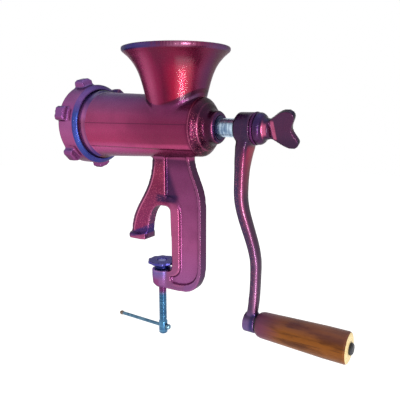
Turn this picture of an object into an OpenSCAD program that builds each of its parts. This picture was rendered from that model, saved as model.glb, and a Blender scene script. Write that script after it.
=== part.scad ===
// Hand-cranked meat grinder that clamps to the edge of a table.
// Millimetres, +Z up. The origin is the middle of the table foot's underside.
// +X runs along the barrel, from the ring nut to the crank.

/* [Barrel] */
// Height of the barrel's axis above the table
axis_h = 120; // [110:1:140]
// Distance from the middle of the foot to the ring nut's rear face
mouth_reach = 50.5; // [46:0.5:60]
// Length of the barrel from the leg's waist back to the rear shoulder
tail_len = 12.7; // [11:0.1:18]
// Wall of the barrel
barrel_wall = 5.1; // [4.4:0.1:6]
// Diameter of the bore at the rear wall
rear_bore_d = 46.6; // [44:0.2:49]
// Thickness of the rear wall
rear_wall = 5; // [4.5:0.5:7]
// Length of the rounded rear shoulder
shoulder_len = 15; // [12:0.5:18]
// Wall of the boss round the bush
boss_wall = 4.5; // [3.5:0.1:6]
// Length of the boss beyond the shoulder
boss_len = 5.3; // [4.5:0.1:8]
// Bevel on the boss's end
boss_bevel = 2.6; // [1:0.1:3]
// Length of the rounded collar behind the ring nut
collar_len = 7.6; // [5:0.2:9]
// Height of that collar above the barrel
collar_rise = 2.2; // [1:0.1:2.4]
// Length of the lug on the collar's far side
collar_lug_len = 9.6; // [6:0.2:12]
// Width of that lug
collar_lug_w = 11; // [8:0.5:14]
// Height of that lug above the barrel
collar_lug_rise = 7.8; // [4:0.2:9]
// Turn of that lug away from the top, in degrees
collar_lug_turn = 31; // [20:1:60]
// Height of the bare side panel above the barrel
panel_rise = 0.8; // [0.4:0.1:1.2]
// Top edge of the side panel above the axis
panel_up = 3; // [1:0.5:6]
// Bottom edge of the side panel below the axis
panel_down = 21; // [16:0.5:23]
// Length of the side panel
panel_len = 122; // [90:1:126]

/* [Plate and knife] */
// Diameter of the hole plate
plate_d = 62; // [60:0.5:66]
// Thickness of the hole plate
plate_t = 5; // [4:0.5:6]
// Diameter of the plate's holes
hole_d = 5; // [3:0.1:5.5]
// Rings of holes in the plate
hole_rings = 3; // [1:1:3]
// Thickness of the knife
knife_t = 6; // [5:0.5:8]
// Width of the stud's square
stud_square = 9; // [8:0.5:10]
// Diameter of the stud's round nose
nose_d = 8; // [7:0.5:8]
// Diameter of the pin that keeps the plate from turning
key_d = 3.6; // [3:0.1:4]

/* [Ring nut] */
// Depth of the ring nut
ring_depth = 26; // [24:0.5:30]
// Wall of the ring nut over its thread
ring_wall = 5.6; // [4:0.1:7]
// Wall of the barrel's mouth under the thread
mouth_wall = 5.3; // [5:0.1:7]
// Thickness of the lip that holds the plate
lip_t = 4; // [3:0.5:6]
// Width of the lip over the plate's edge
lip_w = 4; // [3:0.5:4.5]
// Number of grip lugs
lug_count = 6; // [4:1:8]
// Width of a lug round the ring
lug_w = 15; // [12:0.5:18]
// Length of a lug along the ring
lug_len = 11; // [8:0.2:14]
// Length of the slope behind a lug
lug_slope = 3; // [1:0.2:4]
// Height of a lug above the ring
lug_rise = 7.2; // [4:0.2:9]
// Turn of the lugs at rest, in degrees
lug_turn = 16; // [0:1:59]
// Depth of the slope round the ring's rear edge
ring_slope = 4; // [1:0.2:4.4]

/* [Hopper] */
// Distance from the hopper's axis back to the rear shoulder
hopper_back = 30.4; // [29:0.2:34]
// Height of the hopper's rim above the barrel's axis
hopper_h = 74.6; // [70:0.2:86]
// Diameter of the rim
rim_d = 105; // [98:1:115]
// Wall of the hopper
hopper_wall = 4; // [3:0.2:4.6]
// Height of the lip round the rim
rim_lip = 3.6; // [3:0.2:6]
// Growth of the diameter over the straight part of the flare
flare_cone = 24; // [16:0.5:30]

/* [Leg] */
// Thickness of the leg
leg_t = 12; // [10:0.5:14]
// Distance from the middle of the foot to the leg's inner face
leg_in = 44; // [43.6:0.2:46]
// Width of the leg
leg_w = 36.3; // [33:0.1:38]
// Depth of the leg below the table
leg_drop = 50; // [49:0.2:54]
// Height of the arch above the table
arch_h = 38.8; // [34:0.2:42]
// Width of the fork that carries the foot
fork_w = 15.5; // [13:0.5:17]
// Narrowing of the leg under the barrel
waist = 14; // [8:0.5:16]
// Depth of the recess in each side of the leg
recess = 4; // [2:0.2:4.6]
// Width of the bevel along the fork's outer edge
fork_bevel = 4; // [2:0.2:5]
// Depth of that bevel
fork_bevel_t = 1.6; // [0.6:0.2:2.4]
// Width of the leg's rim beside the table
inner_rim = 10; // [8:0.5:12]
// Width of the leg's rim on the crank's side
outer_rim = 4; // [3:0.2:6]
// Length of the foot along the barrel
foot_l = 23.2; // [21:0.2:25]
// Width of the foot
foot_w = 22.4; // [20:0.2:26]
// Thickness of the foot
foot_t = 5; // [4:0.5:8]
// Rise of the foot towards the arch
foot_rise = 5.4; // [3:0.2:7]

/* [Clamp] */
// Room between the pad and the leg
pad_room = 0.8; // [0.5:0.1:2]
// Diameter of the clamp screw
screw_d = 8.3; // [7.5:0.1:9]
// Length of the clamp screw below the pad's hub
screw_len = 75.2; // [70:0.2:84]
// Swelling of the screw's drilled end
screw_end_rise = 0.55; // [0.3:0.05:1]
// Diameter of the jaw's boss
jaw_d = 22; // [19:0.5:24]
// Depth of the jaw's top below the table
jaw_drop = 30.6; // [28:0.2:34]
// Height of the jaw's boss
jaw_h = 20; // [18:0.5:22]
// Diameter of the pad over its waves
pad_d = 30.8; // [26:0.2:31]
// Thickness of the pad's plate
pad_t = 3; // [2.6:0.2:4]
// Height of the whole pad with its hub
pad_h = 8.8; // [8:0.2:10]
// Diameter of the pad's hub
pad_hub_d = 17; // [14:0.5:19]
// Waves round the pad
pad_waves = 10; // [6:1:14]
// Depth of a wave
wave_h = 1.2; // [0.6:0.1:1.6]
// Diameter of the tommy bar
bar_d = 3.8; // [3:0.1:4.2]
// Length of the tommy bar between its ends
bar_len = 64; // [55:1:75]

/* [Crank] */
// Diameter of the drive shaft
shaft_d = 17.4; // [16.4:0.2:18]
// Length of bare shaft between the boss and the crank
shaft_bare = 17.8; // [15:0.2:26]
// Distance from the shaft's axis to the grip's axis
crank_r = 185; // [175:1:210]
// Wall of the crank's hub round the shaft
hub_wall = 5.8; // [5:0.1:8]
// Length of the crank's hub
hub_len = 17.8; // [13:0.2:19]
// Width of the shaft across its flats
flats_w = 12.6; // [12:0.2:13.4]
// Thickness of the arm at the hub
arm_t = 12; // [9:0.2:12.6]
// Width of the arm at the hub
arm_w = 17.6; // [13:0.2:19]
// Share of the arm's section that is left at the eye
arm_taper = 0.6; // [0.56:0.02:1]
// Bend of the arm towards the barrel
arm_inset = 4.4; // [3:0.2:7]
// Bend of the arm away from the barrel
arm_outset = 12.8; // [8:0.2:14]
// Diameter of the eye
eye_d = 19.6; // [18:0.2:25]
// Length of the eye
eye_len = 12; // [9:0.2:13]

/* [Wing screw] */
// Diameter of the washer under the wing screw
washer_d = 30; // [29:0.5:34]
// Thickness of that washer
washer_t = 3; // [2:0.2:4]
// Diameter of the wing screw's flange
flange_d = 28.6; // [25:0.2:31]
// Length of the flange
flange_len = 6.6; // [5:0.2:8]
// Diameter of the wing screw's neck
wing_neck_d = 19.6; // [17:0.2:21]
// Length of the neck
wing_neck_len = 5; // [4:0.5:8]
// Length of the wings beyond the neck
wing_len = 25; // [22:0.5:31]
// Span over both wings
wing_span = 36; // [32:0.5:42]
// Thickness of the wings
wing_t = 6; // [5:0.5:8]
// Turn of the wings at rest, in degrees
wing_turn = 28; // [0:1:179]
// Diameter of the threaded stud
stud_d = 8; // [7:0.2:8]
// Length of the stud that screws into the shaft
stud_len = 24; // [22:0.5:30]

/* [Grip] */
// Length of the grip
grip_len = 86.6; // [78:0.2:96]
// Diameter of the grip
grip_d = 28.8; // [26:0.2:31]
// Diameter of the flat at the grip's inner end
grip_nose_d = 19; // [15:0.5:20]
// Length of the rounded inner end
grip_nose_len = 7; // [6:0.5:14]
// Rounding of the outer end's edge
grip_edge = 2.4; // [0.6:0.2:3]
// Diameter of the spindle
spindle_d = 7; // [6:0.2:8]
// Diameter of the spindle's head
head_d = 11.2; // [9.6:0.2:12]
// Thickness of the spindle's head
head_t = 2.8; // [2:0.2:4]
// Thickness of the washer between eye and grip
grip_washer_t = 1.4; // [1:0.2:2]

/* [Feed screw] */
// Diameter of the feed screw's core at the knife
core_front_d = 20; // [19:0.5:24]
// Diameter of the core at the rear wall
core_rear_d = 28; // [25:0.5:30]
// Turns of the flight
flight_turns = 3.5; // [2.5:0.25:4.5]
// Thickness of the flight
flight_t = 5; // [4:0.5:7]
// Room between the flight and the bore
flight_room = 0.8; // [0.5:0.1:1.2]
// Wall of the bronze bush
bush_wall = 2.5; // [2:0.25:3]
// Thickness of the thrust washer
thrust_t = 2; // [1.5:0.25:3]

/* [Fits] */
// Radial clearance of a turning fit
run_fit = 0.06; // [0.03:0.01:0.1]
// Radial clearance of a thread
thread_fit = 0.3; // [0.2:0.05:0.4]
// Gap between flat faces that rub
face_gap = 0.1; // [0.05:0.05:0.2]

/* [Hidden] */
$fn = 64;
eps = 0.01;

// Leg across the barrel's plane
leg_out = leg_in + leg_w;
waist_x = leg_out - waist;

// Places along the barrel, from the mouth to the crank
ring_rear_x = -mouth_reach;
ring_front_x = ring_rear_x - ring_depth;
plate_front_x = ring_front_x + lip_t;
plate_rear_x = plate_front_x + plate_t;
plate_proud = 1;
mouth_x = plate_front_x + plate_proud;
knife_front_x = plate_rear_x + face_gap;
knife_rear_x = knife_front_x + knife_t;
auger_front_x = knife_rear_x;
shoulder_x = waist_x + tail_len;
hopper_x = shoulder_x - hopper_back;
rear_wall_x = shoulder_x - rear_wall;
auger_rear_x = rear_wall_x - thrust_t - face_gap;
boss_x = shoulder_x + shoulder_len;
boss_end_x = boss_x + boss_len;
hub_x = boss_end_x + shaft_bare;
hub_end_x = hub_x + hub_len;
washer_end_x = hub_end_x + washer_t;
flange_end_x = washer_end_x + flange_len;
wing_x = flange_end_x + wing_neck_len;
wing_tip_x = wing_x + wing_len;

// Radii about the barrel's axis
plate_r = plate_d / 2;
seat_r = plate_r + thread_fit;
thread_r = seat_r + mouth_wall;
ring_bore_r = thread_r + thread_fit;
ring_r = ring_bore_r + ring_wall;
plate_ledge = 2.1;
throat_step = 0.2;
front_bore_r = seat_r - plate_ledge;
front_r = front_bore_r + barrel_wall;
rear_bore_r = rear_bore_d / 2;
rear_r = rear_bore_r + barrel_wall;
shaft_r = shaft_d / 2;
bush_bore_r = shaft_r + run_fit;
bush_r = bush_bore_r + bush_wall;
boss_r = bush_r + boss_wall;
hub_r = shaft_r + hub_wall;
knife_r = front_bore_r - flight_room;
core_front_r = core_front_d / 2;
core_rear_r = core_rear_d / 2;
collar_end_x = ring_rear_x + collar_len;
bore_start_x = knife_rear_x + flight_room;
function bore_r_at(x) =
  front_bore_r + (rear_bore_r - front_bore_r) * (x - bore_start_x) / (rear_wall_x - bore_start_x);
throat_r = bore_r_at(hopper_x) - throat_step;
neck_d = 2 * (throat_r + hopper_wall);

// Leg and jaw
leg_top = axis_h - rear_bore_r - barrel_wall / 2;
jaw_bottom = jaw_drop + jaw_h;
screw_x = leg_in - pad_d / 2 - pad_room;
screw_r = screw_d / 2;
screw_end_r = screw_r + screw_end_rise;
bore_clear_r = screw_r + thread_fit;

// Clamp pad and screw, at the lowest place of the pad
pad_rest_gap = 0.4;
pad_base_z = -jaw_drop + pad_rest_gap;
pad_top_z = pad_base_z + pad_h;
pad_head_t = 1.8;
pad_neck_r = screw_r - pad_head_t / 2;
pad_head_r = pad_neck_r + pad_head_t;
pad_sink = pad_head_t * 1.3;
screw_end_z = pad_base_z - screw_len;
screw_end_h = 15;
bar_z = screw_end_z + screw_end_h * 0.54;
bar_r = bar_d / 2;
bar_head_l = 4;
bar_edge = 1;
bar_head_r = bar_r + bar_edge;
bar_tip_l = 4.4;
bar_peen = 0.5;
bar_stop_gap = 0.3;

// Crank and grip
eye_set = 3.2;
eye_end_x = hub_x + hub_len / 2 + arm_outset + eye_len / 2 - eye_set;
eye_x = eye_end_x - eye_len;
grip_x = eye_end_x + grip_washer_t + face_gap;
grip_end_x = grip_x + grip_len;
grip_z = axis_h - crank_r;
spindle_r = spindle_d / 2;
grip_bore_r = spindle_r + run_fit;
stud_hole_r = stud_d / 2 + thread_fit;

// Points on a cubic curve
function curve(a, b, c, d, steps) = [
  for (i = [0:steps])
    let (t = i / steps, s = 1 - t)
      s * s * s * a + 3 * s * s * t * b + 3 * s * t * t * c + t * t * t * d
];

// A solid turned about the barrel's axis, from points of place along X and radius
module turned(profile) {
  translate([0, 0, axis_h])
    rotate([0, 90, 0])
      rotate_extrude()
        polygon([for (p = profile) [p[1], p[0]]]);
}

// A plain rod along the barrel's axis
module rod(x0, x1, r) {
  turned([[x0, 0], [x0, r], [x1, r], [x1, 0]]);
}

// A plate of an X-Z outline, centred on the barrel's plane
module side_plate(thickness) {
  rotate([90, 0, 0])
    linear_extrude(height = thickness, center = true)
      children();
}

// A closed skin over rings of points
module swept(rings) {
  count = len(rings[0]);
  last = len(rings) - 1;
  sides = [
    for (i = [0:last - 1], j = [0:count - 1])
      let (a = i * count, b = a + count, k = (j + 1) % count)
        each [[a + j, a + k, b + k], [a + j, b + k, b + j]]
  ];
  start = [for (j = [count - 1:-1:0]) j];
  end = [for (j = [0:count - 1]) last * count + j];
  polyhedron(points = [for (r = rings) each r], faces = concat([start], [end], sides));
}

// Body casting

// Blind hole and pin that hold the plate still
key_deep = mouth_wall * 0.6;
module key_pin() {
  translate([plate_front_x + plate_t / 2, 0, axis_h + front_bore_r])
    cylinder(h = seat_r - front_bore_r + key_deep, d = key_d);
}

// Outer skin of the barrel, with the thread at its mouth and the rear boss
module barrel_skin() {
  bead = [
    for (a = [20:20:180])
      [ring_rear_x + collar_len * (a - 20) / 160, front_r + collar_rise * sin(a)]
  ];
  // Round bend, straight cone and hollow root, as shares of the shoulder's length and height
  shoulder = [
    for (p = [[0, 1], [0.17, 0.96], [0.27, 0.86], [0.6, 0.42], [0.67, 0.21], [0.8, 0.05], [1, 0]])
      [shoulder_x + shoulder_len * p[0], boss_r + (rear_r - boss_r) * p[1]]
  ];
  turned(concat(
    [[mouth_x, 0], [mouth_x, thread_r], [ring_rear_x, thread_r]],
    bead,
    shoulder,
    [
      [boss_end_x - boss_bevel, boss_r], [boss_end_x, boss_r - boss_bevel], [boss_end_x, 0]
    ]
  ));
}

// Lug on the collar, behind the ring nut
module collar_lug() {
  root = barrel_wall / 2;
  translate([ring_rear_x + thread_fit, 0, axis_h])
    rotate([-collar_lug_turn, 0, 0])
      translate([0, -collar_lug_w / 2, front_r - root])
        cube([collar_lug_len, collar_lug_w, collar_lug_rise + root]);
}

// Plate seat, tapered bore and bush bore
module barrel_bores() {
  turned([
    [mouth_x - eps, 0], [mouth_x - eps, seat_r], [bore_start_x, seat_r],
    [bore_start_x, front_bore_r], [rear_wall_x, rear_bore_r], [rear_wall_x, bush_r],
    [boss_end_x + eps, bush_r], [boss_end_x + eps, 0]
  ]);
}

// Bare raised panel on each side of the barrel
module side_panels() {
  panel_x = collar_end_x - eps;
  panel_end_x = collar_end_x + panel_len;
  intersection() {
    turned([
      [panel_x, 0], [panel_x, front_r + panel_rise],
      [shoulder_x, rear_r + panel_rise], [shoulder_x, 0]
    ]);
    translate([panel_x, -front_r * 2, axis_h - panel_down])
      cube([panel_end_x - panel_x, front_r * 4, panel_up + panel_down]);
  }
}

// Outer radius of the hopper at a height above the barrel's axis
flare_start = 20;
flare_curl = 4.8;
flare_top = hopper_h - rim_lip;
function flare_r(z) =
  let (s = (z - flare_start) / (flare_top - flare_start))
    (neck_d + flare_cone * s + (rim_d - neck_d - flare_cone) * pow(s, flare_curl)) / 2;
flare_z = [for (i = [0:10]) flare_start + (flare_top - flare_start) * i / 10];

module hopper_skin() {
  edge = rim_lip / 4;
  translate([hopper_x, 0, axis_h])
    rotate_extrude()
      polygon(concat(
        [[0, 0], [neck_d / 2, 0]],
        [for (z = flare_z) [flare_r(z), z]],
        [
          [rim_d / 2, hopper_h - edge], [rim_d / 2 - edge, hopper_h], [0, hopper_h]
        ]
      ));
}

module hopper_hollow() {
  translate([hopper_x, 0, axis_h])
    rotate_extrude()
      polygon(concat(
        [[0, 0], [throat_r, 0]],
        [for (z = flare_z) [flare_r(z) - hopper_wall, z]],
        [[rim_d / 2 - hopper_wall, hopper_h + eps], [0, hopper_h + eps]]
      ));
}

// Outline of the forked leg and the clamp's arm in the barrel's plane
ease = 1;
arch_corner_r = 7;
jaw_corner_r = 5;
heel_h = 30;
fork_x = leg_in - fork_w - arch_corner_r;
toe_x = foot_l / 2;
toe_gap = 3;
outer_fork = curve(
  [fork_x - ease, leg_top], [fork_x - ease, leg_top * 0.47],
  [toe_gap - ease - toe_x, leg_top * 0.45], [ease - toe_x, foot_t / 2], 10
);
module leg_outline() {
  arch_side = curve(
    [toe_x + toe_gap / 2, foot_t / 2], [toe_x + toe_gap, arch_h * 0.66],
    [toe_x + 3 * toe_gap, arch_h], [leg_in - 2 * arch_corner_r, arch_h], 8
  );
  arch_corner = curve(
    [leg_in - arch_corner_r, arch_h], [leg_in - arch_corner_r / 3, arch_h],
    [leg_in - ease, arch_h - arch_corner_r / 3], [leg_in - ease, arch_h - arch_corner_r], 5
  );
  jaw_corner = curve(
    [leg_in, jaw_corner_r - jaw_drop], [leg_in, jaw_corner_r / 3 - jaw_drop],
    [leg_in - jaw_corner_r / 3, -jaw_drop], [leg_in - jaw_corner_r, -jaw_drop], 4
  );
  heel = curve(
    [leg_in + leg_w * 0.3, -leg_drop], [leg_out - leg_w * 0.2, -leg_drop],
    [leg_out, -leg_drop + heel_h * 0.4], [leg_out, -leg_drop + heel_h], 8
  );
  outer_edge = curve(
    [leg_out, leg_top * 0.43], [leg_out, leg_top * 0.68],
    [waist_x, leg_top * 0.78], [waist_x, leg_top], 8
  );
  polygon(concat(
    outer_fork, arch_side, arch_corner, [[leg_in, 0]], jaw_corner,
    [[screw_x, -jaw_drop], [screw_x, -jaw_bottom], [leg_in - jaw_corner_r, -jaw_bottom]],
    heel, outer_edge
  ));
}

// Strip along the fork's outer edge that is bevelled off
module bevel_outline() {
  last = len(outer_fork) - 1;
  polygon(concat(
    [for (p = outer_fork) [p[0] - fork_bevel, p[1]]],
    [for (i = [last:-1:0]) [outer_fork[i][0] + fork_bevel, outer_fork[i][1]]]
  ));
}

// Outline of the recess in the leg's side; lift raises its edge over the arch
arch_rim = 5.4;
arch_slope = 4.6;
module recess_outline(lift) {
  left_x = fork_x + fork_w;
  in_x = leg_in + inner_rim;
  out_x = leg_out - outer_rim;
  floor_z = -leg_drop + inner_rim * 0.6;
  jaw_x = screw_x + jaw_d / 2 + 2 * ease;
  ledge_z = arch_h + arch_rim + lift;
  ledge = curve(
    [left_x, ledge_z], [left_x + arch_corner_r, ledge_z],
    [in_x, ledge_z - arch_rim / 2], [in_x, arch_h - arch_corner_r], 6
  );
  jaw_bend = curve(
    [in_x, jaw_corner_r - jaw_drop], [in_x, -jaw_drop - ease],
    [in_x - jaw_corner_r, -jaw_drop - jaw_corner_r], [jaw_x, -jaw_drop - jaw_corner_r - ease], 5
  );
  heel = curve(
    [jaw_x + toe_gap, floor_z + ease], [out_x - leg_w * 0.25, floor_z - ease],
    [out_x, floor_z + heel_h * 0.3], [out_x, floor_z + heel_h * 0.8], 7
  );
  outer = curve(
    [out_x, leg_top * 0.43], [out_x, leg_top * 0.66],
    [waist_x - outer_rim, leg_top * 0.78], [waist_x - outer_rim, leg_top], 7
  );
  polygon(concat([[left_x, leg_top]], ledge, jaw_bend, heel, outer));
}

// Foot plate with rounded corners
module foot() {
  corner = 7;
  linear_extrude(foot_t) {
    square([foot_l - 2 * corner, foot_w], center = true);
    square([foot_l, foot_w - 2 * corner], center = true);
    for (x = [-1, 1], y = [-1, 1])
      translate([x * (foot_l / 2 - corner), y * (foot_w / 2 - corner)])
        circle(corner);
  }
}

// Stepped flare that carries the fork's load into the foot, higher beside the arch
module foot_flare() {
  steps = 2;
  for (i = [1:steps]) {
    share = i / (steps + 1);
    side_plate(foot_w - (foot_w - leg_t) * share)
      polygon([
        [toe_gap - toe_x, 0], [toe_x, 0],
        [toe_x, foot_t + foot_rise * share], [toe_gap - toe_x, foot_t + ease * share]
      ]);
  }
}

// Boss that holds the clamp screw, drawn in at its lower end
module jaw_boss() {
  jaw_r = jaw_d / 2;
  translate([screw_x, 0, 0])
    rotate_extrude()
      polygon([
        [0, -jaw_bottom], [jaw_r * 0.62, -jaw_bottom], [jaw_r * 0.94, -jaw_bottom + jaw_h * 0.2],
        [jaw_r, -jaw_bottom + jaw_h * 0.6], [jaw_r, -jaw_drop], [0, -jaw_drop]
      ]);
}

module body_casting() {
  color("#8e2048")
    difference() {
      union() {
        barrel_skin();
        collar_lug();
        side_panels();
        hopper_skin();
        foot();
        foot_flare();
        jaw_boss();
        difference() {
          side_plate(leg_t)
            leg_outline();
          for (side = [-1, 1]) {
            translate([0, side * (leg_t - recess), 0])
              side_plate(leg_t)
                recess_outline(arch_slope);
            translate([0, side * (leg_t - recess / 2), 0])
              side_plate(leg_t)
                recess_outline(0);
            translate([0, side * (leg_t - fork_bevel_t), 0])
              side_plate(leg_t)
                bevel_outline();
          }
        }
      }
      barrel_bores();
      hopper_hollow();
      translate([screw_x, 0, -jaw_bottom - eps])
        cylinder(h = jaw_h + 2 * eps, r = bore_clear_r);
      key_pin();
    }
}

// Pieces fixed in the casting

module rear_bush() {
  color("#b08d57")
    turned([
      [rear_wall_x, bush_bore_r], [rear_wall_x, bush_r], [boss_end_x, bush_r], [boss_end_x, bush_bore_r]
    ]);
}

module thrust_washer() {
  thrust_r = core_rear_r + thrust_t;
  color("#6b2f1d")
    turned([
      [rear_wall_x - thrust_t, bush_bore_r], [rear_wall_x - thrust_t, thrust_r],
      [rear_wall_x, thrust_r], [rear_wall_x, bush_bore_r]
    ]);
}

module plate_key() {
  color("silver")
    key_pin();
}

// Feed screw, shaft and knife

stud_step = 0.6;
stud_root_r = stud_square / 2 + stud_step;
stud_root_len = 20;
shaft_root_len = 30;
flight_steps = 22;
// Left-hand flight, so that turning the crank clockwise feeds towards the plate
module auger_screw() {
  steps = round(flight_turns * flight_steps);
  x0 = auger_front_x + flight_t / 2;
  x1 = auger_rear_x - flight_t / 2;
  in_r = core_front_r - 1;
  flight = [
    for (i = [0:steps])
      let (
        s = i / steps,
        a = 360 * flight_turns * s,
        x = x1 - (x1 - x0) * s,
        r = bore_r_at(x + flight_t / 2) - flight_room
      )
        [
          for (p = [[-1, in_r], [-1, r], [1, r], [1, in_r]])
            [x + p[0] * flight_t / 2, p[1] * cos(a), p[1] * sin(a)]
        ]
  ];
  color("#9a9ca0")
    difference() {
      union() {
        turned([
          [auger_front_x, 0], [auger_front_x, core_front_r],
          [auger_rear_x, core_rear_r], [auger_rear_x, 0]
        ]);
        translate([0, 0, axis_h])
          swept(flight);
      }
      rod(auger_front_x - eps, auger_front_x + stud_root_len, stud_root_r);
      rod(auger_rear_x - shaft_root_len, auger_rear_x + eps, shaft_r);
    }
}

module drive_shaft() {
  color("#c3c9cf")
    difference() {
      rod(auger_rear_x - shaft_root_len, hub_end_x - face_gap, shaft_r);
      for (side = [-1, 1])
        translate([hub_x, side * (flats_w / 2 + shaft_r) - shaft_r, axis_h - shaft_r])
          cube([hub_len, 2 * shaft_r, 2 * shaft_r]);
      rod(hub_end_x - stud_len - stud_d / 4, hub_end_x, stud_hole_r);
    }
}

module knife_stud() {
  nose_len = plate_t + lip_t / 2;
  color("#c3c9cf") {
    rod(auger_front_x, auger_front_x + stud_root_len, stud_root_r);
    translate([knife_front_x, -stud_square / 2, axis_h - stud_square / 2])
      cube([knife_t, stud_square, stud_square]);
    rod(knife_front_x - nose_len, knife_front_x, nose_d / 2);
  }
}

module cutter_knife() {
  arm = stud_square * 0.9;
  knife_hub_r = stud_square * 0.95;
  color("#aeb4ba")
    difference() {
      union() {
        rod(knife_front_x, knife_rear_x, knife_hub_r);
        intersection() {
          rod(knife_front_x, knife_rear_x, knife_r);
          for (a = [0, 90])
            translate([knife_front_x, 0, axis_h])
              rotate([a, 0, 0])
                translate([0, -arm / 2, -knife_r])
                  cube([knife_t, arm, 2 * knife_r]);
        }
      }
      translate([knife_front_x - eps, -stud_square / 2, axis_h - stud_square / 2])
        cube([knife_t + 2 * eps, stud_square, stud_square]);
    }
}

module hole_plate() {
  land = 3.7;
  first = (nose_d + hole_d) / 2 + land;
  last = plate_r - lip_w - hole_d / 2;
  step = (last - first) / max(1, hole_rings - 1);
  notch = key_d + 2 * thread_fit;
  color("#b9bec4")
    difference() {
      rod(plate_front_x, plate_rear_x, plate_r);
      rod(plate_front_x - eps, plate_rear_x + eps, nose_d / 2 + run_fit);
      for (k = [1:hole_rings], i = [0:6 * k - 1])
        translate([plate_front_x - eps, 0, axis_h])
          rotate([60 / k * (i + 0.5), 0, 0])
            translate([0, 0, first + step * (k - 1)])
              rotate([0, 90, 0])
                cylinder(h = plate_t + 2 * eps, d = hole_d);
      translate([plate_front_x - eps, -notch / 2, axis_h + front_bore_r - thread_fit])
        cube([plate_t + 2 * eps, notch, plate_r]);
    }
}

// Ring nut with its lugs
module ring_nut() {
  bevel = 2.4;
  lug_mid = ring_front_x + bevel * 1.2 + lug_len / 2;
  lug_edge = 2;
  lug_root = ring_wall / 2;
  slope = min(ring_slope, ring_wall - 1.4);
  color("#7d3474")
    difference() {
      union() {
        turned([
          [ring_front_x, 0], [ring_front_x, ring_r - bevel], [ring_front_x + bevel, ring_r],
          [ring_rear_x - slope, ring_r], [ring_rear_x, ring_r - slope], [ring_rear_x, 0]
        ]);
        for (i = [0:lug_count - 1])
          translate([lug_mid, 0, axis_h])
            rotate([90 - lug_turn - i * 360 / lug_count, 0, 0])
              translate([0, 0, ring_r - lug_root]) {
                lug_h = lug_root + lug_rise;
                half = lug_len / 2;
                side_plate(lug_w)
                  polygon([
                    [-half, 0], [half + lug_slope, 0], [half + lug_slope / 3, lug_h - lug_edge],
                    [-half, lug_h - lug_edge]
                  ]);
                side_plate(lug_w - 2 * lug_edge)
                  polygon([
                    [lug_edge / 2 - half, 0], [half, 0], [half, lug_h], [lug_edge / 2 - half, lug_h]
                  ]);
              }
      }
      rod(ring_front_x - eps, ring_rear_x + eps, plate_r - lip_w);
      rod(plate_front_x, ring_rear_x + eps, ring_bore_r);
    }
}

// Crank

// Middle line of the arm, from the hub to the eye
hub_mid_x = hub_x + hub_len / 2;
arm_in_x = hub_mid_x - arm_inset;
arm_out_x = hub_mid_x + arm_outset;
arm_line = concat(
  curve(
    [hub_mid_x + hub_len * 0.08, -hub_r / 2], [hub_mid_x - arm_inset * 0.4, -hub_r * 1.2],
    [arm_in_x, -crank_r * 0.18], [arm_in_x, -crank_r * 0.325], 7
  ),
  [
    for (i = [1:8])
      let (s = i / 9)
        [
          arm_in_x + (arm_out_x - arm_in_x) * s * s * (3 - 2 * s),
          -crank_r * (0.325 + 0.37 * s)
        ]
  ],
  curve(
    [arm_out_x, -crank_r * 0.695], [arm_out_x, -crank_r * 0.78],
    [arm_out_x, -crank_r * 0.86], [arm_out_x - eye_set, -crank_r + eye_d / 4], 4
  )
);

// Rounded-rectangle ring across the arm at one point of its line
arm_sides = 20;
root_rings = 4;
tip_rings = 3;
corner_power = 0.7;
function soft(v) = sign(v) * pow(abs(v), corner_power);
function arm_ring(i) =
  let (
    last = len(arm_line) - 1,
    along = arm_line[min(i + 1, last)] - arm_line[max(i - 1, 0)],
    dir = along / norm(along),
    scale_here = 1 + (arm_taper - 1) * i / last,
    root = pow(max(0, 1 - max(0, i - 2) / root_rings), 2),
    tip = pow(max(0, 1 - (last - i) / tip_rings), 2),
    thick = arm_t * scale_here + (hub_len * 0.82 - arm_t) * root + (eye_len * 0.9 - arm_t * arm_taper) * tip,
    wide = arm_w * scale_here + (hub_r * 1.7 - arm_w) * root
  )
    [
      for (j = [0:arm_sides - 1])
        let (
          a = 360 * j / arm_sides,
          across = thick / 2 * soft(cos(a)),
          y = wide / 2 * soft(sin(a))
        )
          [arm_line[i][0] - dir[1] * across, y, axis_h + arm_line[i][1] + dir[0] * across]
    ];

module crank_arm() {
  hub_bevel = 3;
  fit = face_gap / 2;
  color("#7c1f49")
    difference() {
      union() {
        turned([
          [hub_x, 0], [hub_x, hub_r - hub_bevel], [hub_x + hub_bevel, hub_r],
          [hub_end_x - hub_bevel / 3, hub_r], [hub_end_x, hub_r - hub_bevel / 3], [hub_end_x, 0]
        ]);
        swept([for (i = [0:len(arm_line) - 1]) arm_ring(i)]);
        translate([eye_x, 0, grip_z])
          rotate([0, 90, 0])
            cylinder(h = eye_len, d = eye_d);
      }
      intersection() {
        rod(hub_x - eps, hub_end_x + eps, shaft_r + fit);
        translate([hub_x - hub_len, -flats_w / 2 - fit, axis_h - shaft_d])
          cube([3 * hub_len, flats_w + 2 * fit, 2 * shaft_d]);
      }
      translate([eye_x - eps, 0, grip_z])
        rotate([0, 90, 0])
          cylinder(h = eye_len + 2 * eps, r = spindle_r);
    }
}

module crank_washer() {
  edge = washer_t / 4;
  washer_r = washer_d / 2;
  color("#33204a")
    turned([
      [hub_end_x, stud_hole_r], [hub_end_x, washer_r - edge], [hub_end_x + edge, washer_r],
      [washer_end_x - edge, washer_r], [washer_end_x, washer_r - edge], [washer_end_x, stud_hole_r]
    ]);
}

// Wing screw, its wings as one butterfly plate

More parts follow.
